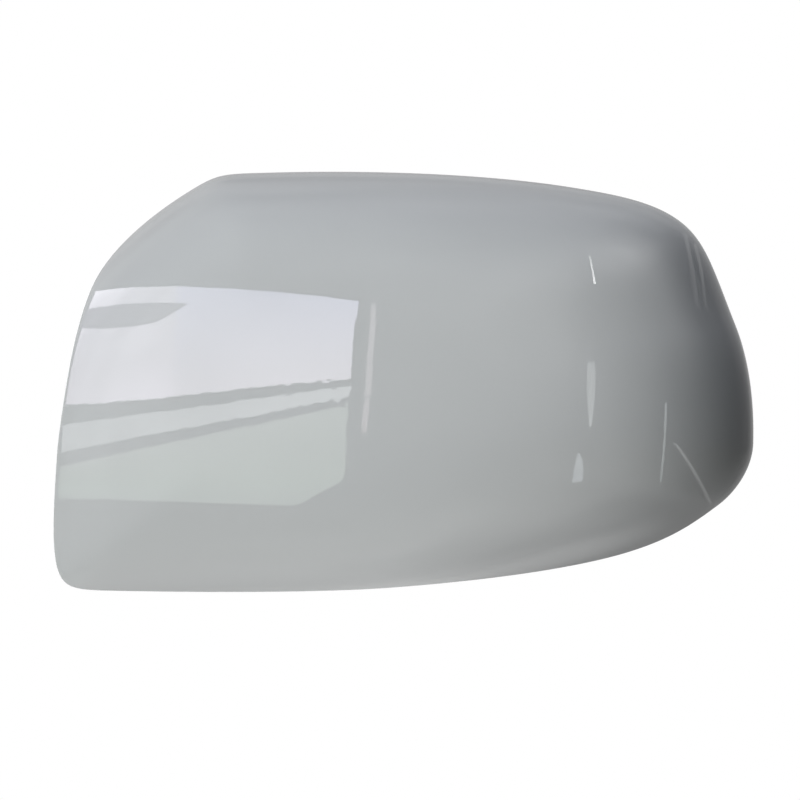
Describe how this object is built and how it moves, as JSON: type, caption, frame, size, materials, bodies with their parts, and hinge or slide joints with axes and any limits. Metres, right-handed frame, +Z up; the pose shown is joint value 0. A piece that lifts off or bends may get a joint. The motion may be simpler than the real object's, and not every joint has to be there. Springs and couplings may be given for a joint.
{
  "type": "wing mirror cover",
  "caption": "Thin moulded shell, painted gloss light grey outside, that clips over the front of a door mirror housing, with hooks and locating pegs behind.",
  "frame": {"origin": "centre of the shoulder of the main locating peg", "axes": "+X away from the car along the cover's length, +Y into the mirror housing along the pegs, +Z up"},
  "size_m": [0.2364, 0.0837, 0.1414],
  "materials": {
    "painted_shell": "gloss light grey paint over moulded plastic"
  },
  "bodies": {
    "root": {"mirror_cover": "painted_shell"}
  },
  "joints": []
}
